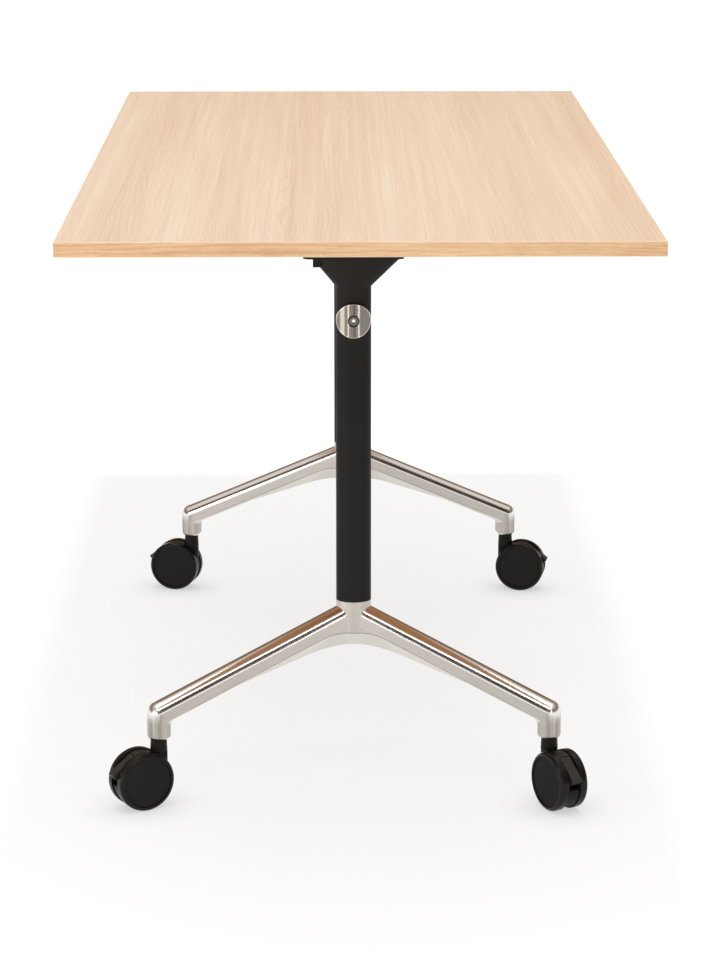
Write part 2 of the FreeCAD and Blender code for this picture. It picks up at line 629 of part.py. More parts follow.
def cover_disc():
    """Turned saddle washer on the outer side of the column, crowned about the column's axis."""
    front = COLUMN_HALF_Y + DISC_STAND
    blank = rod_y(DISC_RADIUS, 0, CROSSBAR_Z, -front, DISC_WRAP - COLUMN_HALF_Y)
    crown = rod_z(DISC_CROWN_RADIUS, 0, DISC_CROWN_RADIUS - front, CROSSBAR_Z - DISC_RADIUS - OVERRUN,
                  CROSSBAR_Z + DISC_RADIUS + OVERRUN)
    body = blank.common(crown)
    rim = [edge for edge in body.Edges if edge.CenterOfMass.y < DISC_WRAP - COLUMN_HALF_Y - DISC_EDGE
           and edge.BoundBox.XLength > DISC_RADIUS]
    body = body.makeFillet(DISC_EDGE, rim)
    sink = rod_y(DISC_SINK_RADIUS, 0, CROSSBAR_Z, -front - OVERRUN, -front + DISC_SINK_DEPTH)
    hole = rod_y(CROSSBAR_SCREW_RADIUS + SLIP, 0, CROSSBAR_Z, -front - OVERRUN, OVERRUN)
    return body.cut([column_cutter(SLIP), sink, hole])


def crossbar_screw():
    seat = DISC_SINK_DEPTH - COLUMN_HALF_Y - DISC_STAND
    shank = rod_y(CROSSBAR_SCREW_RADIUS, 0, CROSSBAR_Z, seat, CROSSBAR_SCREW_REACH)
    top = seat - CROSSBAR_SCREW_HEAD_HEIGHT
    cap = rod_y(CROSSBAR_SCREW_HEAD_RADIUS, 0, CROSSBAR_Z, top, seat)
    turn = math.radians(360 / CROSSBAR_SCREW_KEY_SIDES)
    corners = [(CROSSBAR_SCREW_KEY_RADIUS * math.cos(turn * side),
                CROSSBAR_Z + CROSSBAR_SCREW_KEY_RADIUS * math.sin(turn * side), 0)
               for side in range(CROSSBAR_SCREW_KEY_SIDES)]
    key = plate_along_y(corners, top - OVERRUN, top + CROSSBAR_SCREW_KEY_DEPTH)
    return fuse_all([shank, cap]).cut(key)


def spacer_sleeve():
    """Tube inside the column that keeps the screw from crushing it."""
    reach = COLUMN_HALF_Y
    tube = rod_y(SLEEVE_RADIUS, 0, CROSSBAR_Z, -reach, reach)
    hole = rod_y(CROSSBAR_SCREW_RADIUS + SLIP, 0, CROSSBAR_Z, -reach - OVERRUN, reach + OVERRUN)
    bore = oval_prism(BORE_HALF_X - SLIP, BORE_HALF_Y - SLIP, FOOT_TOP_Z, COLUMN_TOP_Z)
    return tube.cut(hole).common(bore)


# Cast foot

def arm_line(u, drop=0.0):
    """Height of the arm's crest, or of a line below it, at a distance from the column's axis."""
    return ARM_HUB_Z - drop - ARM_SLOPE * u


def arm_outline(v, inner_u, side_height, hub_z, hub_corner, hub_round):
    """Side outline of one arm in its own upright plane, from the hub's axis to the caster's boss."""
    end_u = ARM_REACH + ARM_WIDTH / 2
    corners = [(0, ARM_HUB_Z, 0), (end_u, arm_line(end_u), ARM_END_ROUND), (end_u, BOSS_Z, 0),
               (inner_u, BOSS_Z, 0), (inner_u, arm_line(inner_u, side_height), ARM_INNER_ROUND),
               (KEEL_START, arm_line(KEEL_START, side_height), 0),
               (hub_corner, hub_z, hub_round), (0, hub_z, 0)]
    return outline(corners, v)


def is_crest(edge):
    """True for the arm's long upper edges, which run on round its end and down the boss."""
    middle = edge.valueAt((edge.FirstParameter + edge.LastParameter) / 2)
    on_side = all(abs(abs(vertex.Y) - ARM_WIDTH / 2) < SLIP for vertex in edge.Vertexes)
    above = middle.z > arm_line(middle.x, ARM_END_ROUND / 2)
    outside = middle.x > ARM_REACH + ARM_WIDTH / 2 - SLIP
    return on_side and len(edge.Vertexes) == 2 and (above or outside)


def arm():
    """One arm along +X: flat sides, a half-round crest and a keel that tapers out along the arm."""
    inner_u = ARM_REACH - ARM_WIDTH / 2
    crease_corner = (ARM_HUB_Z - ARM_SIDE_HEIGHT - CREASE_Z) / ARM_SLOPE
    sections = []
    for v in (-ARM_WIDTH / 2, -ARM_KEEL_WIDTH / 2, ARM_KEEL_WIDTH / 2, ARM_WIDTH / 2):
        if abs(v) > ARM_KEEL_WIDTH / 2:
            sections.append(arm_outline(v, inner_u + BOSS_INNER_CHAMFER, ARM_SIDE_HEIGHT, CREASE_Z,
                                        crease_corner, ARM_CREASE_ROUND))
        else:
            sections.append(arm_outline(v, inner_u, ARM_SIDE_HEIGHT + KEEL_END_DROP, KEEL_Z,
                                        KEEL_CORNER, ARM_KEEL_ROUND))
    body = Part.makeLoft(sections, True, True).removeSplitter()
    crest = [edge for edge in body.Edges if is_crest(edge)]
    body = body.makeFillet((ARM_WIDTH - ARM_CREST_FLAT) / 2, crest)
    rim = [edge for edge in body.Edges if edge.BoundBox.ZMax < BOSS_Z + SLIP]
    return body.makeFillet(BOSS_BOTTOM_ROUND, rim)


def foot():
    """Both arms, the hub between them and the spigot that the column sits on."""
    arms = []
    for turn in (-ARM_ANGLE, ARM_ANGLE - 180):
        one = arm()
        one.rotate(LEG_AXIS, UP, turn)
        arms.append(one)
    hub = oval_prism(COLUMN_HALF_X, COLUMN_HALF_Y, CREASE_Z, FOOT_TOP_Z)
    keel = Part.makeLoft([oval_wire(COLUMN_HALF_X - HUB_KEEL_INSET, COLUMN_HALF_Y - HUB_KEEL_INSET, KEEL_Z),
                          oval_wire(COLUMN_HALF_X, COLUMN_HALF_Y, CREASE_Z)], True, True)
    body = fuse_all(arms + [hub, keel])
    above = oval_prism(COLUMN_HALF_X, COLUMN_HALF_Y, FOOT_TOP_Z, FOOT_TOP_Z + FOOT_SPIGOT_LENGTH)
    spigot = oval_prism(BORE_HALF_X - LOOSE_FIT, BORE_HALF_Y - LOOSE_FIT,
                        FOOT_TOP_Z, FOOT_TOP_Z + FOOT_SPIGOT_LENGTH)
    body = fuse_all([body.cut(above), spigot])
    bolt_hole = rod_z(FOOT_BOLT_RADIUS + SLIP, 0, 0, KEEL_Z - OVERRUN,
                      FOOT_TOP_Z + FOOT_SPIGOT_LENGTH + OVERRUN)
    sink = rod_z(FOOT_BOLT_HEAD_RADIUS + LOOSE_FIT, 0, 0, KEEL_Z - OVERRUN, KEEL_Z + FOOT_BOLT_SINK)
    sockets = [rod_z(STEM_RADIUS + SLIP, side * CASTER_X, -FOOT_SWEEP, BOSS_Z - OVERRUN,
                     BOSS_Z + STEM_IN_FOOT + SLIP) for side in (-1, 1)]
    return body.cut([bolt_hole, sink] + sockets)


def foot_bolt():
    seat = KEEL_Z + FOOT_BOLT_SINK
    top = FOOT_TOP_Z + FOOT_SPIGOT_LENGTH + NUT_PLUG_GAP + NUT_PLUG_LENGTH
    shank = rod_z(FOOT_BOLT_RADIUS, 0, 0, seat, top)
    cap = rod_z(FOOT_BOLT_HEAD_RADIUS, 0, 0, seat - FOOT_BOLT_HEAD_HEIGHT, seat)
    return fuse_all([shank, cap])


def nut_plug():
    low = FOOT_TOP_Z + FOOT_SPIGOT_LENGTH + NUT_PLUG_GAP
    plug = oval_prism(BORE_HALF_X - SLIP, BORE_HALF_Y - SLIP, low, low + NUT_PLUG_LENGTH)
    return plug.cut(rod_z(FOOT_BOLT_RADIUS + SLIP, 0, 0, low - OVERRUN, low + NUT_PLUG_LENGTH + OVERRUN))


# Casters, each drawn with its swivel axis on Z and its trail along +X

def stem_low():
    return CASTER_HEIGHT - STEM_IN_HOOD + STEM_END_GAP


def caster_stem():
    return rod_z(STEM_RADIUS, 0, 0, stem_low(), BOSS_Z + STEM_IN_FOOT)


def from_wheel(shares, rounds=None):
    """Corners in X and Z from shares of the wheel's radius, measured from the wheel's centre."""
    rounds = rounds or [0] * len(shares)
    return [(TRAIL + x * WHEEL_RADIUS, WHEEL_RADIUS + z * WHEEL_RADIUS, r * WHEEL_RADIUS)
            for (x, z), r in zip(shares, rounds)]


def lever_axis():
    x, z, _ = from_wheel([LEVER_PIVOT_SHARES])[0]
    return x, z


def hood():
    """Body between the two wheels, with the collar round the stem and a pocket for the brake lever."""
    half = HOOD_WIDTH / 2
    disc = rod_y(HOOD_RADIUS, TRAIL, WHEEL_RADIUS, -half, half)
    shoulder_z = CASTER_HEIGHT - COLLAR_LENGTH
    collar = Part.makeCone(COLLAR_LOW_RADIUS, COLLAR_TOP_RADIUS, COLLAR_LENGTH, Vector(0, 0, shoulder_z), UP)
    root = rod_z(COLLAR_LOW_RADIUS, 0, 0, shoulder_z - COLLAR_ROOT_LENGTH, shoulder_z)
    slab = box(-COLLAR_LOW_RADIUS - OVERRUN, COLLAR_LOW_RADIUS + OVERRUN, -half, half,
               shoulder_z - COLLAR_ROOT_LENGTH, shoulder_z)
    body = fuse_all([disc, collar, root.common(slab)])
    below = box(TRAIL - WHEEL_RADIUS, TRAIL + WHEEL_RADIUS, -half - OVERRUN, half + OVERRUN,
                -OVERRUN, HOOD_FLOOR)
    pocket = plate_along_y(from_wheel(POCKET_SHARES), -half - OVERRUN, half + OVERRUN)
    stem_bore = rod_z(STEM_RADIUS + RUNNING_FIT, 0, 0, CASTER_HEIGHT - STEM_IN_HOOD,
                      CASTER_HEIGHT + OVERRUN)
    axle_bore = rod_y(AXLE_RADIUS + SLIP, TRAIL, WHEEL_RADIUS, -half - OVERRUN, half + OVERRUN)
    post = plate_along_y(from_wheel(POST_SHARES), -LEVER_WEB / 2, LEVER_WEB / 2)
    x, z = lever_axis()
    ear_end = rod_y(PIVOT_EAR_SHARE * WHEEL_RADIUS, x, z, -LEVER_WEB / 2, LEVER_WEB / 2)
    pin_bore = rod_y(LEVER_PIN_RADIUS + RUNNING_FIT, x, z, -half, half)
    opened = body.cut([below, pocket])
    return fuse_all([opened, post, ear_end]).cut([stem_bore, axle_bore, pin_bore])


def brake_lever():
    """Pressed with the foot: a wedge plate with two cheeks either side of the hood's pivot ear."""
    half = LEVER_WIDTH / 2
    wedge = plate_along_y(from_wheel(LEVER_SHARES, LEVER_ROUND_SHARES), -half, half)
    slot_half = LEVER_WEB / 2 + LEVER_WEB_GAP
    (seam_x, seam_z, _), (tip_x, tip_z, _) = from_wheel(LEVER_SHARES)[:2]
    slope = (seam_z - tip_z) / (tip_x - seam_x)
    drop = LEVER_PLATE * math.hypot(1, slope)
    left = TRAIL
    right = tip_x - LEVER_WIDTH
    slot = plate_along_y([(left, seam_z + (seam_x - left) * slope - drop, 0),
                          (right, seam_z + (seam_x - right) * slope - drop, 0),
                          (right, WHEEL_RADIUS, 0), (left, WHEEL_RADIUS, 0)], -slot_half, slot_half)
    x, z = lever_axis()
    pin = rod_y(LEVER_PIN_RADIUS, x, z, -half, half)
    return fuse_all([wedge.cut(slot), pin])


def axle():
    reach = CAP_SEAT - FACE_GAP
    return rod_y(AXLE_RADIUS, TRAIL, WHEEL_RADIUS, -reach, reach)


def turned(profile):
    """Solid of revolution about the axle from corners of radius and distance from the hood's middle."""
    solid = Part.Face(outline(profile, 0)).revolve(LEG_AXIS, UP, 360)
    solid.rotate(LEG_AXIS, ACROSS, -90)
    solid.translate(Vector(TRAIL, 0, WHEEL_RADIUS))
    return solid


def wheel():
    web_face = CAP_SEAT - WHEEL_WEB
    bore = AXLE_RADIUS + RUNNING_FIT
    recess = CAP_RADIUS + FACE_GAP
    return turned([(bore, WHEEL_INNER, 0), (WHEEL_HUB_RADIUS, WHEEL_INNER, 0),
                   (WHEEL_HUB_RADIUS, web_face, 0), (WHEEL_RIM_RADIUS, web_face, 0),
                   (WHEEL_RIM_RADIUS, WHEEL_INNER, 0), (WHEEL_RADIUS, WHEEL_INNER, 0),
                   (WHEEL_RADIUS, WHEEL_OUTER, WHEEL_OUTER_ROUND), (recess, WHEEL_OUTER, 0),
                   (recess, CAP_SEAT, 0), (bore, CAP_SEAT, 0)])


def wheel_cap():
    return turned([(0, CAP_SEAT, 0), (CAP_RADIUS, CAP_SEAT, 0), (CAP_RADIUS, CAP_FACE, CAP_EDGE),
                   (0, CAP_FACE, 0)])


def to_caster(shape, side, end, turn):
    placed = shape.copy()
    placed.rotate(LEG_AXIS, UP, turn)
    placed.translate(Vector(LEG_OFFSET + side * CASTER_X, end * (LEG_Y + FOOT_SWEEP), 0))
    return placed


def other_side(shape):
    turned_round = shape.copy()
    turned_round.rotate(Vector(TRAIL, 0, WHEEL_RADIUS), UP, 180)
    return turned_round


def make_nodes():
    """Every piece of the desk by the name of its node."""
    nodes = {"tabletop_board": tabletop_board(), "edge_bands": edge_bands()}
    for name, shape in (("top_bracket", bracket()), ("head", head()), ("column", column()), ("foot", foot()),
                        ("cover_disc", cover_disc()), ("latch_bolt", latch_bolt())):
        nodes[name + "_near"] = to_near_leg(shape)
        nodes[name + "_far"] = to_far_leg(shape)
    nodes["bracket_screws"] = both_legs(bracket_screws())
    nodes["pivot_pins"] = both_legs([pivot_pin()])
    nodes["pivot_clips"] = both_legs([pivot_clip()])
    nodes["bolt_guides"] = both_legs([bolt_guide()])
    nodes["release_bar"] = to_leg_line(release_bar())
    nodes["release_grip"] = to_leg_line(release_grip())
    nodes["strike_plates"] = both_legs([strike_plate()])
    nodes["strike_screws"] = both_legs(strike_screws())
    nodes["head_screws"] = both_legs([head_screw()])
    nodes["rest_pads"] = both_legs(rest_pads())
    nodes["crossbar"] = to_leg_line(crossbar())
    nodes["crossbar_saddles"] = both_legs([crossbar_saddle()])
    nodes["crossbar_screws"] = both_legs([crossbar_screw()])
    nodes["spacer_sleeves"] = both_legs([spacer_sleeve()])
    nodes["foot_bolts"] = both_legs([foot_bolt()])
    nodes["nut_plugs"] = both_legs([nut_plug()])
    nodes["caster_stems"] = Part.makeCompound([to_caster(caster_stem(), side, end, 0)
                                               for _, side, end, _ in CASTERS])
    caster_pieces = {"caster_hood": hood(), "caster_axle": axle(), "brake_lever": brake_lever(),
                     "wheel_a": wheel(), "wheel_cap_a": wheel_cap(),
                     "wheel_b": other_side(wheel()), "wheel_cap_b": other_side(wheel_cap())}
    for corner, side, end, turn in CASTERS:
        for name, shape in caster_pieces.items():
            nodes[name + "_" + corner] = to_caster(shape, side, end, turn)
    return nodes


def main():
    os.makedirs("parts", exist_ok=True)
    for name, shape in make_nodes().items():
        shape.exportStep("parts/" + name + ".step")
        solids = len(shape.Solids)
        print(name, "solids", solids, "volume", round(shape.Volume), "valid", shape.isValid())


main()
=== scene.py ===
# %% [markdown]
# # A flip-top desk in a white studio
#
# The desk's board tilts upright on two heads, so that desks can be stored close
# together. The CAD model gives every piece its true shape and place. The pieces could
# be modelled again here, but then two models would have to agree. So this script only
# adds what the CAD leaves out: materials, a pale floor, soft light, and a camera where
# the photographer stood.

# %% Load the frame
import json
import math
from functools import partial

import bpy
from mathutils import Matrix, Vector

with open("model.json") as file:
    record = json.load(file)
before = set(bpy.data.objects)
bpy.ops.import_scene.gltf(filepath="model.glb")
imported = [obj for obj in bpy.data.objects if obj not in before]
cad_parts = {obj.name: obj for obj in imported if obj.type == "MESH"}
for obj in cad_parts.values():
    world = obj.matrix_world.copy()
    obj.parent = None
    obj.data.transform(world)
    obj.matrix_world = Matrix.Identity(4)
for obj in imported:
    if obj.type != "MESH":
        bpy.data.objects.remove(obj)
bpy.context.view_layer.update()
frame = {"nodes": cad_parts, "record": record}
nodes = frame["nodes"]
record = frame["record"]

# %% [markdown]
# ## Colours and pattern sizes
#
# A finish is judged on a screen, so its colours are written as screen values in
# hex. Blender mixes light in linear values, and one function turns the first into the
# second. A noise texture's scale is the number of its repeats in a metre, so it can be
# worked out from a size that could be measured on the real piece with a ruler.

# %% Colours and sizes
MM = 0.001


def linear(hex_colour):
    """Screen colour to linear light, with alpha."""
    values = [int(hex_colour[i:i + 2], 16) / 255 for i in (1, 3, 5)]
    light = [v / 12.92 if v <= 0.04045 else ((v + 0.055) / 1.055) ** 2.4 for v in values]
    return (*light, 1.0)


def per_metre(size_mm):
    """Pattern scale whose repeat is about this many millimetres."""
    return 1.0 / (size_mm * MM)


print("a pattern of 5 mm has scale", per_metre(5.0))

# %% [markdown]
# ## Adding shader nodes
#
# A material is a small network of nodes. It could be drawn by hand in the shader editor,
# but a script can be read, compared and run again. Most nodes are of use through one
# output, so the function that adds a node gives back that output, ready to be linked to
# the next node.

# %% Nodes
def connect(tree, node, inputs):
    """Set each input to a value, or link it to another node's output."""
    for key, value in inputs.items():
        if isinstance(value, bpy.types.NodeSocket):
            tree.links.new(value, node.inputs[key])
        else:
            node.inputs[key].default_value = value


def add(tree, kind, inputs=(), out=0, stops=(), **settings):
    """One node with its settings and its inputs, in order or by name; gives one output."""
    node = tree.nodes.new("ShaderNode" + kind)
    for name, value in settings.items():
        setattr(node, name, value)
    connect(tree, node, inputs if isinstance(inputs, dict) else dict(enumerate(inputs)))
    if stops:
        elements = node.color_ramp.elements
        while len(elements) < len(stops):
            elements.new(0.5)
        for element, (position, colour) in zip(elements, stops):
            element.position, element.color = position, linear(colour)
    return node.outputs[out]


# A mix node has sockets for every kind of data, told apart by number: these mix colours
AMOUNT, FROM, TO = 0, 6, 7
COLOURS = {"data_type": "RGBA", "out": 2}


def new_material(name):
    """Empty material, its principled shader to fill in, and a way to add nodes to it."""
    material = bpy.data.materials.new(name)
    material.use_nodes = True
    tree = material.node_tree
    return material, tree, tree.nodes["Principled BSDF"], partial(add, tree)


print("nodes can be added")

# %% [markdown]
# ## Where a point lies on the desk
#
# Grain, polish and wear follow the desk's own directions: along the board, down the
# column, out along an arm. An unwrapped map could carry them, but each piece would need
# its own. The pieces share one frame in metres, so every pattern here reads its place
# straight from that frame, and it moves with the piece when a joint turns.

# %% Place and facing
def place(node):
    """Position on the piece in metres, in the desk's frame, and its three parts."""
    position = node("TexCoord", out="Object")
    split = node("SeparateXYZ", (position,)).node.outputs
    return position, split["X"], split["Y"], split["Z"]


def facing(node):
    """How far the surface looks up at rest: 1 on top, 0 on the sides, -1 underneath."""
    return node("SeparateXYZ", (node("TexCoord", out="Normal"),), "Z")


# %% [markdown]
# ## The grain of the oak print
#
# Oak sawn into boards shows broad planks of slightly different tone, a soft figure,
# pale flakes, fine fibres, short dark pores and the lines of the growth rings. A
# photograph of a real board could be laid on, but it would repeat and blur. Noise that
# is drawn out along the grain gives each of these at its own size.

# %% Grain
# Size across the grain in mm, how much of a step along the grain is kept (0.02 draws a
# pattern out fifty times), then the noise's detail, roughness and distortion
GRAIN = {
    "plank": (62.0, 0.012, 1.0, 0.5, 0.0),
    "figure": (15.0, 0.012, 2.0, 0.5, 0.1),
    "fibre": (3.2, 0.007, 2.0, 0.6, 0.0),
    # Real pores are about 0.3 mm wide and are drawn wider, so that the render shows them
    "pore": (1.3, 0.02, 2.0, 0.5, 0.0),
    "pale": (11.0, 0.02, 3.0, 0.55, 0.0),
    "wander": (70.0, 0.10, 4.0, 0.45, 0.0),
}
FINER = ("figure", "fibre", "pale")
RING_MM = 5.5
RING_WANDER = 70.0 * MM


def oak_grain(node, axes, fine, short):
    """The grain's patterns, from the directions along it, across it and through it."""
    position, _, _, _ = place(node)
    run, width, depth = [node("VectorMath", (position, axis), "Value", operation="DOT_PRODUCT")
                         for axis in axes]
    grain = {}
    for part, (size_mm, kept, detail, rough, distortion) in GRAIN.items():
        if part != "wander":
            kept *= short
        if part in FINER:
            size_mm *= fine
        drawn_run = node("Math", (run, kept), operation="MULTIPLY")
        drawn_out = node("CombineXYZ", (width, drawn_run, depth))
        grain[part] = node("TexNoise", {"Vector": drawn_out, "Scale": per_metre(size_mm),
                                        "Detail": detail, "Roughness": rough,
                                        "Distortion": distortion}, "Fac")
    rings = node("Math", (grain["wander"], RING_WANDER, width), operation="MULTIPLY_ADD")
    turns = node("Math", (rings, 2 * math.pi * per_metre(RING_MM)), operation="MULTIPLY")
    grain["ring"] = node("Math", (turns,), operation="SINE")
    return grain


print("grain patterns:", ", ".join(GRAIN))

# %% [markdown]
# ## Oak print on board and edge band
#
# The board is chipboard under melamine paper with a printed oak, pressed with a matte
# plate: pale, even, with hardly any relief. Its edges carry a thin plastic band with a
# stronger print, whose rounded edges are paled by a painted highlight. The underside is
# the same print, darkened to brown by painted shade, and the polished feet mirror it.
# One function makes both prints, because they differ only in colours, in the directions
# of the grain and in how fine it is.

# %% Oak materials
# Brown that darkens the underside: painted shade
UNDERSIDE_SHADE = "#C29469"
# Pale tone of the band's rounded edges: a painted highlight
ROUND_EDGE_HIGHLIGHT = "#EED9BE"
TONE_SHARES = (("plank", 0.30), ("figure", 0.28), ("fibre", 0.42))
MELAMINE_IOR = 1.42
DEPTH_SHARE = 0.2


def oak(name, axes, stops, line_colour, film, contrast, fine=1.0, short=1.0, edge_highlight=0.0):
    """Printed oak beneath a film of this roughness; the last argument is how far a painted
    highlight pales rounded edges.
    """
    material, tree, shader, node = new_material(name)
    grain = oak_grain(node, axes, fine, short)
    tone = 0.0
    for part, share in TONE_SHARES:
        tone = node("Math", (grain[part], share, tone), operation="MULTIPLY_ADD")
    tone = node("MapRange", (tone, 0.34, 0.66, 0.0, 1.0))
    wood = node("ValToRGB", (tone,), stops=stops)
    ring = node("MapRange", (grain["ring"], 0.3, 1.0, 0.0, contrast))
    clear_plank = node("MapRange", (grain["plank"], 0.40, 0.60, 1.0, 0.35))
    up = facing(node)
    level = node("Math", (up,), operation="ABSOLUTE")
    layers = (
        (node("MapRange", (grain["pale"], 0.53, 0.68, 0.0, 0.36)), stops[-1][1], "MIX"),
        (node("Math", (ring, clear_plank), operation="MULTIPLY"), line_colour, "MIX"),
        (node("MapRange", (grain["pore"], 0.58, 0.74, 0.0, contrast)), line_colour, "MIX"),
        # The underside is darkened to brown: painted shade
        (node("MapRange", (up, -0.6, -0.9, 0.0, 1.0)), UNDERSIDE_SHADE, "MULTIPLY"),
        # Rounded top and bottom edges are paled: a painted highlight
        (node("MapRange", (level, 0.15, 0.6, 0.0, edge_highlight)), ROUND_EDGE_HIGHLIGHT, "MIX"))
    for amount, colour, blend in layers:
        wood = node("Mix", {AMOUNT: amount, FROM: wood, TO: linear(colour)},
                    blend_type=blend, **COLOURS)
    connect(tree, shader, {
        "Base Color": wood, "IOR": MELAMINE_IOR,
        "Roughness": node("MapRange", (grain["fibre"], 0.3, 0.7, film - 0.03, film + 0.04)),
        "Normal": node("Bump", {"Height": grain["pore"], "Distance": 0.02 * MM,
                                "Strength": 0.2})})
    return material


# To the eye: pale straw, matte, with faint brown lines along the desk
board_oak = oak("Oak print on melamine board", ((0, 1, 0), (1, 0, 0), (0, 0, DEPTH_SHARE)),
                ((0.0, "#D0B59B"), (0.35, "#D6BFA7"), (0.65, "#D9C4AE"), (1.0, "#DECEBA")),
                "#BF9A76", film=0.50, contrast=0.24)
# To the eye: darker and yellower than the board, with rounded corners paled by a painted highlight
band_oak = oak("Oak print on edge band", ((1, 1, 0), (0, 0, 1), (0, DEPTH_SHARE, 0)),
               ((0.0, "#CEA173"), (0.4, "#D6AE84"), (0.7, "#DBB78F"), (1.0, "#E3C29C")),
               "#926D4C", film=0.42, contrast=0.28, fine=0.5, short=8.0, edge_highlight=0.55)
print("made", board_oak.name, "and", band_oak.name)

# %% [markdown]
# ## Black powder coat, nylon and rubber
#
# The columns and heads are powder coated: the powder melts to a satin skin with a faint
# orange peel. The casters are moulded nylon, and the mould's surface decides their shine:
# polished for the treads, eroded for the caps. Pads are rubber, which hardly shines. A
# plain black would look like a hole, so each has a soft cloud in its tone and a fine
# peel in its relief.

# %% Blacks
CLOUD_MM = 60
CLOUD_BLACK = "#1F1E1D"
PEEL_STRENGTH = 0.5


def black(name, colour, rough, ior, peel_mm, depth_mm, top_sheen_colour=None):
    """Black with a peel of this size; a top colour is a painted sheen on upward faces."""
    material, tree, shader, node = new_material(name)
    position, _, _, _ = place(node)
    peel = node("TexNoise", {"Vector": position, "Scale": per_metre(peel_mm)}, "Fac")
    cloud = node("TexNoise", {"Vector": position, "Scale": per_metre(CLOUD_MM),
                              "Detail": 3.0}, "Fac")
    clouded = node("MapRange", (cloud, 0.35, 0.65, 0.0, 0.25))
    sheen_on_top = node("MapRange", (facing(node), 0.2, 0.6, 0.0, 1.0))
    tone = node("Mix", {AMOUNT: clouded, FROM: linear(colour), TO: linear(CLOUD_BLACK)},
                **COLOURS)
    # Upward faces blend to the top colour: a painted sheen
    tone = node("Mix", {AMOUNT: sheen_on_top, FROM: tone, TO: linear(top_sheen_colour or colour)},
                **COLOURS)
    connect(tree, shader, {
        "Base Color": tone, "IOR": ior,
        "Roughness": node("MapRange", (cloud, 0.3, 0.7, rough - 0.05, rough + 0.06)),
        "Normal": node("Bump", {"Height": peel, "Distance": depth_mm * MM,
                                "Strength": PEEL_STRENGTH})})
    return material


# To the eye: an even soft black whose edges catch a grey line
powder = black("Satin black powder coat", "#23211F", 0.50, 1.17, peel_mm=1.4, depth_mm=0.02)

# %% [markdown]
# ## Nylon and rubber of the casters
#
# Moulded nylon is eroded by a spark to about 0.1 mm of texture, and rubber has a bloom
# that is finer still. Both are drawn several times coarser, so that a close view shows
# them. The IOR of the nylons is set below the usual 1.53, because a dusty, eroded black
# reflects less than a clean one.

# %% Nylon and rubber
# To the eye: deep black with a clear shine on the treads
nylon = black("Moulded black nylon", "#1A1918", 0.22, 1.25, peel_mm=0.7, depth_mm=0.01)
# To the eye: dull grey-black faces of the wheel caps
cap_nylon = black("Eroded black nylon of the caps", "#2B2A28", 0.45, 1.06,
                  peel_mm=0.7, depth_mm=0.02)
# To the eye: black sides and a greyer top, a painted sheen of the overhead light
hood_nylon = black("Dyed black nylon of the hoods", "#191817", 0.36, 1.20,
                   peel_mm=0.7, depth_mm=0.02, top_sheen_colour="#363531")
# The levers' greyer top is the same painted sheen
lever_nylon = black("Dyed black nylon of the levers", "#2E2D2B", 0.36, 1.25,
                    peel_mm=0.7, depth_mm=0.02, top_sheen_colour="#363531")
# To the eye: flat black without a highlight
rubber = black("Black rubber", "#151413", 0.75, 1.45, peel_mm=0.9, depth_mm=0.03)
for made in (powder, nylon, cap_nylon, hood_nylon, lever_nylon, rubber):
    print("made", made.name)

# %% [markdown]
# ## Where a point lies on a foot
#
# A foot is one aluminium casting with two arms that slope down from the column's hub
# and sweep a little outwards. All four arms are the same, so one place is worked out for
# all: how far out along the arm, how far across it, and how far above the line of its
# crest. Painting masks by hand would also work, but the arm's own sizes give the
# borders exactly.

# %% Arm sizes
LEG_X, LEG_Y = -6.0 * MM, 426.0 * MM
ARM_OUT, ARM_SWEEP, ARM_DROP = 246.0 * MM, 60.0 * MM, 116.9 * MM
ARM_REACH = math.hypot(ARM_OUT, ARM_SWEEP)
ALONG = (ARM_OUT / ARM_REACH, ARM_SWEEP / ARM_REACH, 0.0)
ACROSS = (-ARM_SWEEP / ARM_REACH, ARM_OUT / ARM_REACH, 0.0)
ARM_SLOPE = ARM_DROP / ARM_REACH
ARM_LEAN = math.atan(ARM_SLOPE)
ARM_HUB_Z = 252.7 * MM
CREST_RADIUS = 13.5 * MM
END_Z = ARM_HUB_Z - ARM_DROP - CREST_RADIUS / math.cos(ARM_LEAN)


def from_leg(node):
    """Distances sideways from the column's axis and outwards from it, with their signs."""
    _, x, y, z = place(node)
    sideways = node("Math", (x, LEG_X), operation="SUBTRACT")
    outwards = node("Math", (node("Math", (y,), operation="ABSOLUTE"), LEG_Y),
                    operation="SUBTRACT")
    side_x = node("Math", (sideways,), operation="SIGN")
    side_y = node("Math", (y,), operation="SIGN")
    return sideways, outwards, side_x, side_y, z


def arm_place(node):
    """Distance along the arm, across it, height over the crest line, and plain height."""
    sideways, outwards, _, _, z = from_leg(node)
    apart = node("CombineXYZ", (node("Math", (sideways,), operation="ABSOLUTE"), outwards, z))
    along = node("VectorMath", (apart, ALONG), "Value", operation="DOT_PRODUCT")
    across = node("VectorMath", (apart, ACROSS), "Value", operation="DOT_PRODUCT")
    over_hub = node("Math", (z, ARM_HUB_Z), operation="SUBTRACT")
    above = node("Math", (along, ARM_SLOPE, over_hub), operation="MULTIPLY_ADD")
    return along, across, above, z


print("arm reach", round(ARM_REACH / MM, 1), "mm, lean", round(math.degrees(ARM_LEAN), 1))

# %% [markdown]
# ## Which faces of a foot are polished
#
# After casting, the round crest of each arm is buffed on a wheel, over the arm's end and
# a little way down the boss that holds the caster. The hub and the flat sides are only
# brushed. Two masks tell these apart: one for the polish, and a slightly wider one for
# the part of the crest that is shaded as a true round. A separate mesh for the crest
# would do the same, but would split the casting.

# %% Polish masks
HUB_HALF_X, HUB_HALF_Y = 22.0 * MM, 18.0 * MM
ROUND_LOW, POLISH_LOW, POLISH_FULL = -14.9 * MM, -14.6 * MM, -13.8 * MM
END_BLEND = 1.0 * MM
BOSS_FADE_TOP, BOSS_FADE_LOW = END_Z + 2.0 * MM, END_Z - 14.0 * MM
BOSS_POLISH = 0.2


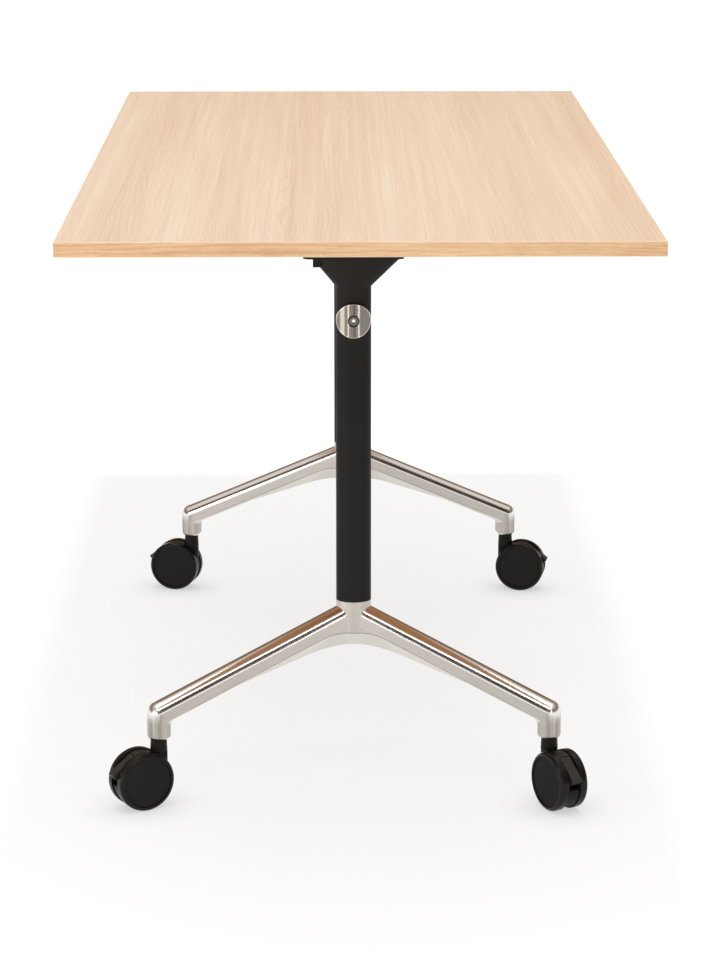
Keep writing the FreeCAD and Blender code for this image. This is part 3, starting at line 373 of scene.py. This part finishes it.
def polish_masks(node, along, above, height):
    """Shares of polish, of true round, and of polish that fades out down the boss."""
    sideways, outwards, _, _, _ = from_leg(node)
    oval = node("CombineXYZ", (node("Math", (sideways, HUB_HALF_X), operation="DIVIDE"),
                               node("Math", (outwards, HUB_HALF_Y), operation="DIVIDE"), 0.0))
    from_hub = node("VectorMath", (oval,), "Value", operation="LENGTH")
    past_hub = node("MapRange", (from_hub, 1.01, 1.05, 0.0, 1.0))
    on_end = node("MapRange", (along, ARM_REACH, ARM_REACH + END_BLEND, 0.0, 1.0))
    fading = node("MapRange", (height, BOSS_FADE_TOP, BOSS_FADE_LOW, 1.0, BOSS_POLISH))
    not_under = node("MapRange", (facing(node), -0.5, -0.2, 0.0, 1.0))
    masks = []
    for low, high, end_share in ((POLISH_LOW, POLISH_FULL, fading),
                                 (ROUND_LOW, POLISH_LOW, not_under)):
        on_crest = node("MapRange", (above, low, high, 0.0, 1.0))
        crest = node("Math", (on_crest, past_hub), operation="MULTIPLY")
        end = node("Math", (on_end, end_share), operation="MULTIPLY")
        masks.append(node("Math", (crest, end), operation="MAXIMUM"))
    return *masks, fading


print("polish ends", -round(POLISH_LOW / MM, 1), "mm below the crest line")

# %% [markdown]
# ## The round of the crest
#
# A polished round mirrors the room as lines along it, and the smallest flat in the mesh
# breaks these lines up. A much finer mesh would cure that. Here the direction of the
# surface is worked out instead, from an axis that runs down the arm and turns round its
# end. Buffing wears the middle of the crest a little flat and tips its sides less, so
# the brown underside of the board fills the upper part of the mirror image.

# %% Crest normal
CREST_FLAT = 1.0 * MM
CREST_CROWN = 1.4
CREST_LEAN_TOP, CREST_LEAN_SIDE = 1.0, 0.5
NEARLY_SIDEWAYS = 0.999


def crest_normal(node, along, across, plain_normal, amount):
    """Direction of the true round where amount is 1, and the mesh's own where it is 0."""
    _, _, side_x, side_y, z = from_leg(node)
    off_middle = node("Math", (across,), operation="ABSOLUTE")
    off_flat = node("Math", (off_middle, CREST_FLAT / 2), operation="SUBTRACT")
    out = node("Math", (node("Math", (off_flat, 0.0), operation="MAXIMUM"), CREST_RADIUS),
               operation="DIVIDE")
    out = node("Math", (out, NEARLY_SIDEWAYS), operation="MINIMUM")
    out = node("Math", (out, CREST_CROWN), operation="POWER")
    lean = node("MapRange", (out, 0.0, 0.8, CREST_LEAN_TOP * ARM_LEAN,
                             CREST_LEAN_SIDE * ARM_LEAN))
    out = node("Math", (out, node("Math", (across,), operation="SIGN")), operation="MULTIPLY")
    out_squared = node("Math", (out, out), operation="MULTIPLY")
    rise = node("Math", (node("Math", (1.0, out_squared), operation="SUBTRACT"),),
                operation="SQRT")
    turn = node("Math", (node("Math", (along, ARM_REACH), operation="SUBTRACT"),
                         node("Math", (z, END_Z), operation="SUBTRACT")), operation="ARCTAN2")
    turn = node("Math", (turn, lean), operation="MAXIMUM")
    turn = node("Math", (turn, math.pi / 2), operation="MINIMUM")
    rise_out = node("Math", (rise, node("Math", (turn,), operation="SINE")),
                    operation="MULTIPLY")
    rise_up = node("Math", (rise, node("Math", (turn,), operation="COSINE")),
                   operation="MULTIPLY")
    level = []
    for out_share, rise_share, side in ((ACROSS[0], ALONG[0], side_x),
                                        (ACROSS[1], ALONG[1], side_y)):
        both = node("Math", (rise_out, rise_share), operation="MULTIPLY")
        both = node("Math", (out, out_share, both), operation="MULTIPLY_ADD")
        level.append(node("Math", (both, side), operation="MULTIPLY"))
    true_round = node("VectorTransform", (node("CombineXYZ", (*level, rise_up)),),
                      vector_type="NORMAL", convert_from="OBJECT", convert_to="WORLD")
    # Sockets 0, 4, 5 and output 1 of a mix node are those for vectors
    mixed = node("Mix", {0: amount, 4: plain_normal, 5: true_round}, 1, data_type="VECTOR")
    return node("VectorMath", (mixed,), operation="NORMALIZE")


print("crest radius", CREST_RADIUS / MM, "mm, crown", CREST_CROWN)

# %% [markdown]
# ## The crease between flat side and keel
#
# Where an arm's flat side meets the keel below it, the sharp edge shows a fine dark
# line. The line is painted shade, drawn as a dark tone that follows the arm's slope and
# bends to level at the hub.

# %% Crease
CREASE_DROP = 28.0 * MM
CREASE_LEVEL_Z = 210.6 * MM
CREASE_BEND = 9.0 * MM
CREASE_CORE, CREASE_EDGE = 0.3 * MM, 1.0 * MM
CREASE_FADE_FROM, CREASE_FADE_TO = 205.0 * MM, 235.0 * MM


def crease(node, along, height):
    """1 on the line, 0 beside it, fading out towards the arm's end."""
    sloping = node("Math", (along, -ARM_SLOPE, ARM_HUB_Z - CREASE_DROP),
                   operation="MULTIPLY_ADD")
    line = node("Math", (sloping, CREASE_LEVEL_Z, CREASE_BEND), operation="SMOOTH_MIN")
    away = node("Math", (node("Math", (height, line), operation="SUBTRACT"),),
                operation="ABSOLUTE")
    near = node("MapRange", (away, CREASE_CORE, CREASE_EDGE, 1.0, 0.0))
    inner = node("MapRange", (along, CREASE_FADE_FROM, CREASE_FADE_TO, 1.0, 0.0))
    return node("Math", (near, inner), operation="MULTIPLY")


print("crease", CREASE_DROP / MM, "mm below the crest line")

# %% [markdown]
# ## Cast aluminium, polished and brushed
#
# Aluminium is a pale, slightly warm metal. Its crest is buffed to a mirror, its sides
# are brushed along the arm, and its bosses are turned, with streaks up and down. One
# material with masks is chosen over three, because the casting is one piece and its
# finishes run into each other.

# %% Cast aluminium
# Real brush marks are about 0.1 mm wide and are drawn wider, so that the render shows them
BRUSH_MM, STREAK_MM, BUFF_CLOUD_MM = 0.9, 7.0, 30
DRAWN_OUT = 0.03
# How dark the painted shade in the crease is
CREASE_SHADE_AMOUNT = 0.6


def brushed_tones(node, along, grain, streaks, crease_shade):
    """Colours of the brushed sides and of the turned boss, with painted light on the keel and
    painted shade in the crease.
    """
    marks = node("MapRange", (grain, 0.3, 0.7, 0.0, 1.0))
    turned = node("MapRange", (streaks, 0.40, 0.60, 0.0, 1.0))
    # A lighter tone on downward faces of the keel: a painted reflection of the bright floor
    keel_reflection = node("MapRange", (facing(node), -0.15, -0.4, 0.0, 1.0))
    near_end = node("MapRange", (along, ARM_REACH - 8.0 * MM, ARM_REACH + 8.0 * MM, 0.0, 1.0))
    side = node("Mix", {AMOUNT: marks, FROM: linear("#B4ADA6"), TO: linear("#C4BEB7")},
                **COLOURS)
    boss = node("Mix", {AMOUNT: turned, FROM: linear("#857E75"), TO: linear("#B3ADA5")},
                **COLOURS)
    for amount, tone in ((keel_reflection, linear("#E4E1DA")), (crease_shade, linear("#6F6861")),
                         (near_end, boss)):
        side = node("Mix", {AMOUNT: amount, FROM: side, TO: tone}, **COLOURS)
    return side, boss


def cast_aluminium():
    """To the eye: a mirror with brown and white lines along its crest, over soft silver sides."""
    material, tree, shader, node = new_material("Cast aluminium, polished crest and brushed sides")
    along, across, above, height = arm_place(node)
    polished, rounded, fading = polish_masks(node, along, above, height)
    drawn_along = node("Math", (along, DRAWN_OUT), operation="MULTIPLY")
    drawn_down = node("Math", (height, DRAWN_OUT), operation="MULTIPLY")
    grain = node("TexNoise", {"Vector": node("CombineXYZ", (drawn_along, across, above)),
                              "Scale": per_metre(BRUSH_MM), "Detail": 3.0,
                              "Roughness": 0.6}, "Fac")
    streaks = node("TexNoise", {"Vector": node("CombineXYZ", (along, across, drawn_down)),
                                "Scale": per_metre(STREAK_MM), "Detail": 1.0}, "Fac")
    cloud = node("TexNoise", {"Vector": node("CombineXYZ", (along, across, above)),
                              "Scale": per_metre(BUFF_CLOUD_MM), "Detail": 3.0}, "Fac")
    # A dark tone along the crease: painted shade
    crease_shade = node("Math", (crease(node, along, height), CREASE_SHADE_AMOUNT), operation="MULTIPLY")
    side, boss = brushed_tones(node, along, grain, streaks, crease_shade)
    mirror = node("Mix", {AMOUNT: fading, FROM: boss, TO: linear("#E3E2DF")}, **COLOURS)
    dull = node("MapRange", (grain, 0.3, 0.7, 0.30, 0.44))
    buffed = node("MapRange", (cloud, 0.3, 0.7, 0.13, 0.19))
    less_at_end = node("MapRange", (along, ARM_REACH - 4.0 * MM, ARM_REACH + 5.0 * MM, 0.0, 0.14))
    bright = node("Math", (buffed, less_at_end), operation="ADD")
    unpolished = node("Math", (1.0, polished), operation="SUBTRACT")
    marks = node("Math", (grain, unpolished), operation="MULTIPLY")
    mesh_normal = node("NewGeometry", out="Normal")
    round_normal = crest_normal(node, along, across, mesh_normal, rounded)
    connect(tree, shader, {
        "Base Color": node("Mix", {AMOUNT: polished, FROM: side, TO: mirror}, **COLOURS),
        "Metallic": 1.0,
        # Sockets 0, 2, 3 and output 0 of a mix node are those for plain values
        "Roughness": node("Mix", {0: polished, 2: dull, 3: bright}, data_type="FLOAT"),
        "Normal": node("Bump", {"Height": marks, "Distance": 0.02 * MM, "Strength": 0.35,
                                "Normal": round_normal})})
    return material


aluminium = cast_aluminium()
print("made", aluminium.name)

# %% [markdown]
# ## Stainless cover disc
#
# A crowned disc of stainless steel covers the screw hole on the outer side of each
# column. It is brushed up and down and its rim is polished. Rings from turning would be
# the other common finish, but the marks here run straight. So the noise is drawn out
# in height, and a broader one paints dark upright streaks into the colour: painted
# reflections, of the kind that a crowned disc mirrors. The bright ring at the edge is a
# painted highlight.

# %% Stainless steel
DISC_Z = 613.0 * MM
DISC_RADIUS = 21.6 * MM
# Where the painted highlight of the edge ring begins and is full
RIM_HIGHLIGHT_FROM, RIM_HIGHLIGHT_TO = DISC_RADIUS - 1.2 * MM, DISC_RADIUS - 0.6 * MM
# Real brush marks are about 0.1 mm wide and are drawn wider here too
DISC_BRUSH_MM, DISC_BRUSH_KEPT = 0.5, 0.04
# Size of the dark upright streaks, painted reflections
DISC_REFLECTION_STREAK_MM, DISC_REFLECTION_STREAK_KEPT = 7.0, 0.02


def from_disc_middle(node):
    """Distance from the axis that the disc and its screw share."""
    _, x, _, z = place(node)
    apart = node("CombineXYZ", (node("Math", (x, LEG_X), operation="SUBTRACT"), 0.0,
                                node("Math", (z, DISC_Z), operation="SUBTRACT")))
    return node("VectorMath", (apart,), "Value", operation="LENGTH")


def brushed_stainless():
    """To the eye: warm grey with upright streaks and a bright ring round it; the dark streaks are
    painted reflections, the ring a painted highlight.
    """
    material, tree, shader, node = new_material("Brushed stainless steel")
    _, x, y, z = place(node)
    brushed = node("CombineXYZ", (x, y, node("Math", (z, DISC_BRUSH_KEPT), operation="MULTIPLY")))
    grain = node("TexNoise", {"Vector": brushed, "Scale": per_metre(DISC_BRUSH_MM),
                              "Detail": 3.0}, "Fac")
    upright = node("CombineXYZ", (x, 0.0, node("Math", (z, DISC_REFLECTION_STREAK_KEPT),
                                               operation="MULTIPLY")))
    streaks = node("TexNoise", {"Vector": upright, "Scale": per_metre(DISC_REFLECTION_STREAK_MM)}, "Fac")
    tone = node("Mix", {AMOUNT: grain, FROM: linear("#6C665F"), TO: linear("#8A837B")}, **COLOURS)
    # Dark streaks as painted reflections, then a bright ring as a painted highlight
    for amount, colour in ((node("MapRange", (streaks, 0.52, 0.62, 0.0, 0.6)), "#3E3833"),
                           (node("MapRange", (from_disc_middle(node), RIM_HIGHLIGHT_FROM, RIM_HIGHLIGHT_TO,
                                              0.0, 1.0)), "#C4BEB6")):
        tone = node("Mix", {AMOUNT: amount, FROM: tone, TO: linear(colour)}, **COLOURS)
    connect(tree, shader, {
        "Base Color": tone, "Metallic": 1.0,
        "Roughness": node("MapRange", (grain, 0.3, 0.7, 0.12, 0.20)),
        "Normal": node("Bump", {"Height": grain, "Distance": 0.01 * MM, "Strength": 0.25})})
    return material


stainless = brushed_stainless()
print("made", stainless.name)

# %% [markdown]
# ## Socket screw and zinc plate
#
# The screw in each disc is steel that was blackened in a hot bath; the bright ring round
# its edge and the bright spot in its socket are painted highlights. Screws, pins and the
# lock's bolts are plated with zinc: bright, slightly blue, with a soft mottle where the
# crystals grew. Scratches and dirt could be added, but these pieces are small and new.

# %% Screw and zinc
SCREW_REACH = 8.0 * MM
# Shares of that reach, from the socket's bottom over the bright ring to the head's rim; the bright
# stops are painted highlights
SCREW_HIGHLIGHT_STOPS = ((0.0, "#F2F0EC"), (0.24, "#E2DFDA"), (0.36, "#3B3834"), (0.46, "#5E5A54"),
               (0.56, "#8F8A83"), (0.66, "#3B3834"), (0.82, "#2A2825"))
# Real crystals are under 0.5 mm and are drawn coarser, so that a close view shows them
SCREW_MOTTLE_MM, ZINC_MOTTLE_MM = 1.2, 3.0


def socket_screw():
    """To the eye: a black head with a bright ring and a bright spot in its middle, both painted
    highlights.
    """
    material, tree, shader, node = new_material("Blackened steel socket screw")
    away = node("MapRange", (from_disc_middle(node), 0.0, SCREW_REACH, 0.0, 1.0))
    mottle = node("TexNoise", {"Vector": place(node)[0], "Scale": per_metre(SCREW_MOTTLE_MM)},
                  "Fac")
    connect(tree, shader, {
        "Base Color": node("ValToRGB", (away,), stops=SCREW_HIGHLIGHT_STOPS), "Metallic": 1.0,
        "Roughness": node("MapRange", (mottle, 0.3, 0.7, 0.22, 0.34))})
    return material


def zinc_plate():
    """To the eye: cool, bright grey with soft spots."""
    material, tree, shader, node = new_material("Zinc plated steel")
    mottle = node("TexNoise", {"Vector": place(node)[0], "Scale": per_metre(ZINC_MOTTLE_MM),
                               "Detail": 3.0}, "Fac")
    connect(tree, shader, {
        "Base Color": node("Mix", {AMOUNT: mottle, FROM: linear("#A9ADB2"),
                                   TO: linear("#C4C6C8")}, **COLOURS),
        "Metallic": 1.0, "Roughness": node("MapRange", (mottle, 0.3, 0.7, 0.24, 0.36))})
    return material


screw_black = socket_screw()
zinc = zinc_plate()
print("made", screw_black.name, "and", zinc.name)

# %% [markdown]
# ## Dress every piece
#
# The record of the CAD names a material slot for every piece, and the piece takes the
# material of that slot. A list by hand could go wrong for one piece in sixty. A few
# pieces of a slot look different on the real desk: the screws in the discs, and the
# caps, hoods and levers of the casters. They are dressed a second time, by name.

# %% Dress
by_slot = {"oak_melamine": board_oak, "oak_edge_band": band_oak, "black_powder_coat": powder,
           "polished_aluminium": aluminium, "stainless_steel": stainless, "zinc_steel": zinc,
           "black_nylon": nylon, "black_rubber": rubber}
by_name = {"crossbar_screws": screw_black, "wheel_cap": cap_nylon,
           "caster_hood": hood_nylon, "brake_lever": lever_nylon}
for part in record["subparts"]:
    piece = nodes[part["node"]]
    piece.data.materials.clear()
    piece.data.materials.append(by_slot[part["material_slot"]])
for name, piece in nodes.items():
    for start, material in by_name.items():
        if name.startswith(start):
            piece.data.materials[0] = material
print("dressed", len(record["subparts"]), "pieces")

# %% [markdown]
# ## White paper floor
#
# The desk stands on a wide sweep of white paper that is lit from all sides, so that the
# board's shadow is only a soft grey patch. Many large lamps could lift the floor to
# white, but they would also wash out the desk. So the paper glows a little by itself, a
# painted light. The board's shadow is painted into that glow as a darker patch, and
# painted contact shadows darken it where something stands close, such as under a wheel.

# %% Floor
FLOOR_HALF_M = 40.0
PAPER_CLOUD_MM = 900
PAPER_GLOW = (0.982, 0.993, 1.0, 1.0)
# The board's painted shadow: middle, half size, soft edge, glow, and more darkening towards the
# far end
SHADOW_PATCH_MIDDLE_M, SHADOW_PATCH_HALF_M, SHADOW_PATCH_EDGE_M = (-0.03, 0.09), (0.48, 1.18), 0.08
SHADOW_PATCH_GLOW, SHADOW_PATCH_FAR_DARKENING = 0.795, 0.06
# Painted contact shadows: reach, and glow where something stands close
CONTACT_SHADOW_M, CONTACT_SHADOW_GLOW = 0.06, 0.72


def floor_glow_and_shadows(node):
    """Strength of the paper's glow, a painted light: 1 in the open, less in the board's painted
    shadow and in painted contact shadows.
    """
    _, x, y, _ = place(node)
    # Less glow in the board's painted shadow
    shadow_patch = 1.0
    for part, middle, half in zip((x, y), SHADOW_PATCH_MIDDLE_M, SHADOW_PATCH_HALF_M):
        away = node("Math", (node("Math", (part, middle), operation="SUBTRACT"),),
                    operation="ABSOLUTE")
        inside = node("MapRange", (away, half - SHADOW_PATCH_EDGE_M, half + SHADOW_PATCH_EDGE_M, 1.0, 0.0))
        shadow_patch = node("Math", (inside, shadow_patch), operation="MULTIPLY")
    far = node("MapRange", (y, 0.2, 1.0, 0.0, SHADOW_PATCH_FAR_DARKENING))
    deeper_shadow = node("Math", (shadow_patch, far), operation="MULTIPLY")
    glow = node("MapRange", (shadow_patch, 0.0, 1.0, 1.0, SHADOW_PATCH_GLOW))
    glow = node("Math", (glow, deeper_shadow), operation="SUBTRACT")
    # Less glow where something stands close: painted contact shadows
    unshadowed_share = node("AmbientOcclusion", {"Distance": CONTACT_SHADOW_M}, "AO")
    unshadowed_share = node("MapRange", (unshadowed_share, 0.2, 1.0, CONTACT_SHADOW_GLOW, 1.0))
    return node("Math", (glow, unshadowed_share), operation="MULTIPLY")


def paper():
    """To the eye: clean white with the faintest cloud in it."""
    material, tree, shader, node = new_material("White paper sweep")
    cloud = node("TexNoise", {"Vector": place(node)[0], "Scale": per_metre(PAPER_CLOUD_MM)},
                 "Fac")
    connect(tree, shader, {
        "Base Color": node("Mix", {AMOUNT: cloud, FROM: linear("#7B7B7A"),
                                   TO: linear("#808080")}, **COLOURS),
        "Roughness": 0.8, "IOR": 1.2,
        "Emission Color": PAPER_GLOW, "Emission Strength": floor_glow_and_shadows(node)})
    return material


half = FLOOR_HALF_M
mesh = bpy.data.meshes.new("floor")
mesh.from_pydata([(-half, -half, 0), (half, -half, 0), (half, half, 0), (-half, half, 0)],
                 [], [(0, 1, 2, 3)])
mesh.materials.append(paper())
floor = bpy.data.objects.new("floor", mesh)
bpy.context.scene.collection.objects.link(floor)
print("laid a floor of", 2 * half, "m")

# %% [markdown]
# ## The room that the metal mirrors
#
# A polished foot shows the room more than itself. In the photo it shows the board's
# brown underside, a white lamp and a dark line, so the room has to be warm and dim at
# mid height, white above, and dark behind the camera. A picture of a real studio could
# be used, but two colour ramps over the height of the view say the same. Both start
# white at the horizon, so that the floor has no visible end.

# %% Room
ROOM_STOPS = ((0.0, "#FFFFFF"), (0.07, "#FFFFFF"), (0.11, "#84725F"), (0.2, "#6A5340"),
              (0.45, "#8E745C"), (0.62, "#B9A48E"), (0.78, "#EDE6DE"), (1.0, "#FFFFFF"))
BEHIND_CAMERA_STOPS = ((0.0, "#FFFFFF"), (0.035, "#FFFFFF"), (0.06, "#5C5A58"),
                       (0.3, "#3A2C22"), (1.0, "#5A3A22"))

world = bpy.data.worlds.new("studio")
world.use_nodes = True
node = partial(add, world.node_tree)
direction = node("SeparateXYZ", (node("TexCoord", out="Generated"),)).node.outputs
behind = node("MapRange", (direction["Y"], -0.2, -0.5, 0.0, 1.0))
room = node("Mix", {AMOUNT: behind,
                    FROM: node("ValToRGB", (direction["Z"],), stops=ROOM_STOPS),
                    TO: node("ValToRGB", (direction["Z"],), stops=BEHIND_CAMERA_STOPS)},
            **COLOURS)
connect(world.node_tree, world.node_tree.nodes["Background"], {"Color": room, "Strength": 1.0})
bpy.context.scene.world = world
print("made the room", world.name)

# %% [markdown]
# ## Soft boxes
#
# A soft box overhead lights the board, and a long one above the camera lights its edge
# and draws the white line on the crests. Two narrow strips beside the camera and a panel
# on the left give the columns and casters their faint edges. Small bright lamps would
# give hard shadows, so all of them are large and near.

# %% Lights
# Name, place and target in metres, width and height in metres, watts
SOFT_BOXES = (
    ("overhead soft box", (0.0, 0.3, 3.7), (0.0, 0.2, 0.0), 2.8, 3.6, 83),
    ("soft box above the camera", (0.2, -3.4, 4.0), (0.0, -0.4, 0.5), 5.4, 1.0, 60),
    ("strip left of the camera", (-1.05, -2.5, 0.75), (0.0, -0.45, 0.6), 0.22, 1.4, 6),
    ("strip right of the camera", (1.05, -2.5, 0.75), (0.0, -0.45, 0.6), 0.22, 1.4, 6),
    ("panel on the left", (-1.75, -1.5, 0.62), (0.0, -0.45, 0.6), 0.9, 1.2, 9))
for name, place_m, target_m, width_m, height_m, watts in SOFT_BOXES:
    lamp = bpy.data.lights.new(name, "AREA")
    lamp.shape = "RECTANGLE"
    lamp.size, lamp.size_y, lamp.energy = width_m, height_m, watts
    light = bpy.data.objects.new(name, lamp)
    light.location = place_m
    towards = Vector(target_m) - Vector(place_m)
    light.rotation_euler = towards.to_track_quat("-Z", "Y").to_euler()
    bpy.context.scene.collection.objects.link(light)
bpy.context.scene.view_settings.view_transform = "Standard"
bpy.context.scene.view_settings.look = "None"
print("lit with", len(SOFT_BOXES), "soft boxes")

# %% [markdown]
# ## Camera
#
# The photographer stood at one short end, a little over four metres from the desk's
# middle, with a long lens that tips down by fourteen degrees. The camera could be placed
# by eye, but it was fitted to the board's corners, the columns, the feet and the wheels
# in the photo, so that their outlines fall on the same pixels.

# %% Camera
CAMERA_MM = (-38.529, -4119.058, 1344.376)
TIP_DOWN, TURN_RIGHT = 14.2584, 0.6298

lens = bpy.data.cameras.new("photo camera")
lens.sensor_width = 36.0
lens.lens = 114.08
lens.clip_end = 200.0
camera = bpy.data.objects.new("photo camera", lens)
camera.location = [value * MM for value in CAMERA_MM]
camera.rotation_euler = (math.radians(90.0 - TIP_DOWN), 0.0, math.radians(-TURN_RIGHT))
bpy.context.scene.collection.objects.link(camera)
bpy.context.scene.camera = camera
print("camera at", tuple(round(v, 3) for v in camera.location))
